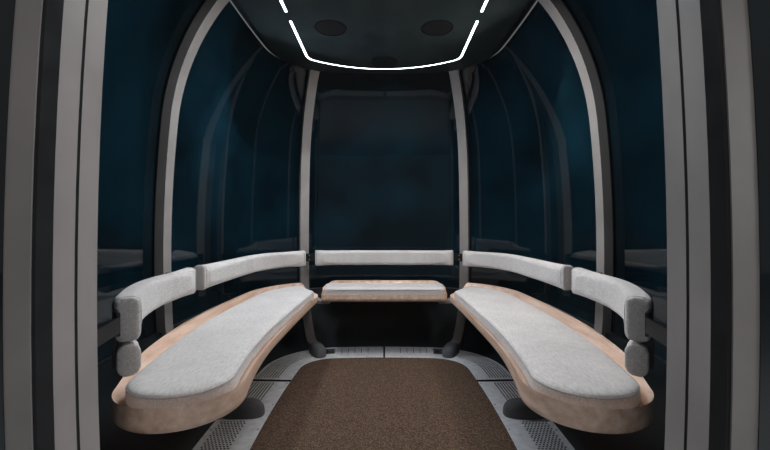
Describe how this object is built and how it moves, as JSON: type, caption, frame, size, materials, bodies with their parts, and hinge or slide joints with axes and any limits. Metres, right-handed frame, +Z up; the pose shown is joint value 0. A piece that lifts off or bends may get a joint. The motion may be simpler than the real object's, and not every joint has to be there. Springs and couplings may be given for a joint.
{
  "type": "cable car cabin with hanger arm and rope grip",
  "caption": "Barrel-shaped glazed cabin with benches and sliding doors that hangs from a rope by its arm and grip.",
  "frame": {"origin": "on the rope axis, in the middle of the grip's jaws", "axes": "+X along the rope, +Y away from the doorway, +Z up"},
  "size_m": [2.48, 2.6478, 4.753],
  "materials": {
    "frame_paint": "satin warm grey paint",
    "shell_paint": "satin dark grey paint",
    "ceiling_paint": "matte dark paint",
    "floor_metal": "brushed, clear anodised",
    "mat": "speckled needle felt",
    "tinted_glass": "dark tinted safety glass",
    "bench_wood": "clear lacquered birch",
    "pad_fabric": "fine grey weave",
    "rubber": "black",
    "bar_metal": "matte black powder coat",
    "light": "opal diffuser",
    "speaker": "black mesh",
    "steel": "galvanised",
    "arm_paint": "satin grey paint",
    "cast_grip": "grey coated casting",
    "wheel_plastic": "dark wear-resistant plastic"
  },
  "bodies": {
    "grip": {"grip_body": "cast_grip", "jaw_pin": "steel"},
    "grip_jaw": {"grip_jaw": "cast_grip"},
    "wheel_front": {"grip_wheel_front": "wheel_plastic"},
    "wheel_rear": {"grip_wheel_rear": "wheel_plastic"},
    "door_left": {"door_frame_left": "frame_paint", "door_hanger_left": "steel", "door_pane_left": "tinted_glass", "door_seal_left": "rubber"},
    "door_right": {"door_frame_right": "frame_paint", "door_hanger_right": "steel", "door_pane_right": "tinted_glass", "door_seal_right": "rubber"},
    "cabin": {"backrest_bar": "bar_metal", "bench_centre": "bench_wood", "bench_left": "bench_wood", "bench_right": "bench_wood", "bottom_pan": "shell_paint", "ceiling_panel": "ceiling_paint", "cushion_centre": "pad_fabric", "cushion_left": "pad_fabric", "cushion_right": "pad_fabric", "door_portal": "frame_paint", "door_rail": "shell_paint", "end_pads": "pad_fabric", "floor_deck": "floor_metal", "floor_mat": "mat", "hanger_arm": "arm_paint", "light_strips": "light", "lower_wall_back": "shell_paint", "lower_wall_left": "shell_paint", "lower_wall_right": "shell_paint", "pad_back": "pad_fabric", "pad_corner_left": "pad_fabric", "pad_corner_right": "pad_fabric", "pad_front_left": "pad_fabric", "pad_front_right": "pad_fabric", "pane_back": "tinted_glass", "pane_back_left": "tinted_glass", "pane_back_right": "tinted_glass", "pane_front_left": "tinted_glass", "pane_front_right": "tinted_glass", "portal_seal": "rubber", "post_back_left": "frame_paint", "post_back_right": "frame_paint", "post_side_left": "frame_paint", "post_side_right": "frame_paint", "ring_plate_back_left": "floor_metal", "ring_plate_back_right": "floor_metal", "ring_plate_corner_left": "floor_metal", "ring_plate_corner_right": "floor_metal", "ring_plate_side_left": "floor_metal", "ring_plate_side_right": "floor_metal", "roof_dampers": "rubber", "roof_frame": "arm_paint", "roof_shell": "shell_paint", "speaker_grilles": "speaker"}
  },
  "joints": [
    {"name": "hanger_swing", "type": "hinge", "parent": "grip", "child": "cabin", "pos_m": [0, 0.285, 0], "axis": [0, 1, 0], "range_deg": [-25, 25]},
    {"name": "jaw_open", "type": "hinge", "parent": "grip", "child": "grip_jaw", "pos_m": [0, 0.02, 0.105], "axis": [1, 0, 0], "range_deg": [-12, 0]},
    {"name": "wheel_front_spin", "type": "hinge", "parent": "grip", "child": "wheel_front", "pos_m": [0.19, 0.078, 0.15], "axis": [0, 1, 0], "continuous": true},
    {"name": "wheel_rear_spin", "type": "hinge", "parent": "grip", "child": "wheel_rear", "pos_m": [-0.19, 0.078, 0.15], "axis": [0, 1, 0], "continuous": true},
    {"name": "door_left_slide", "type": "slide", "parent": "cabin", "child": "door_left", "axis": [1, 0, 0], "range_m": [0, 0.585]},
    {"name": "door_right_slide", "type": "slide", "parent": "cabin", "child": "door_right", "axis": [-1, 0, 0], "range_m": [0, 0.585]}
  ],
  "couplings": [
    {"joint": "door_right_slide", "follows": "door_left_slide", "ratio": 1}
  ]
}
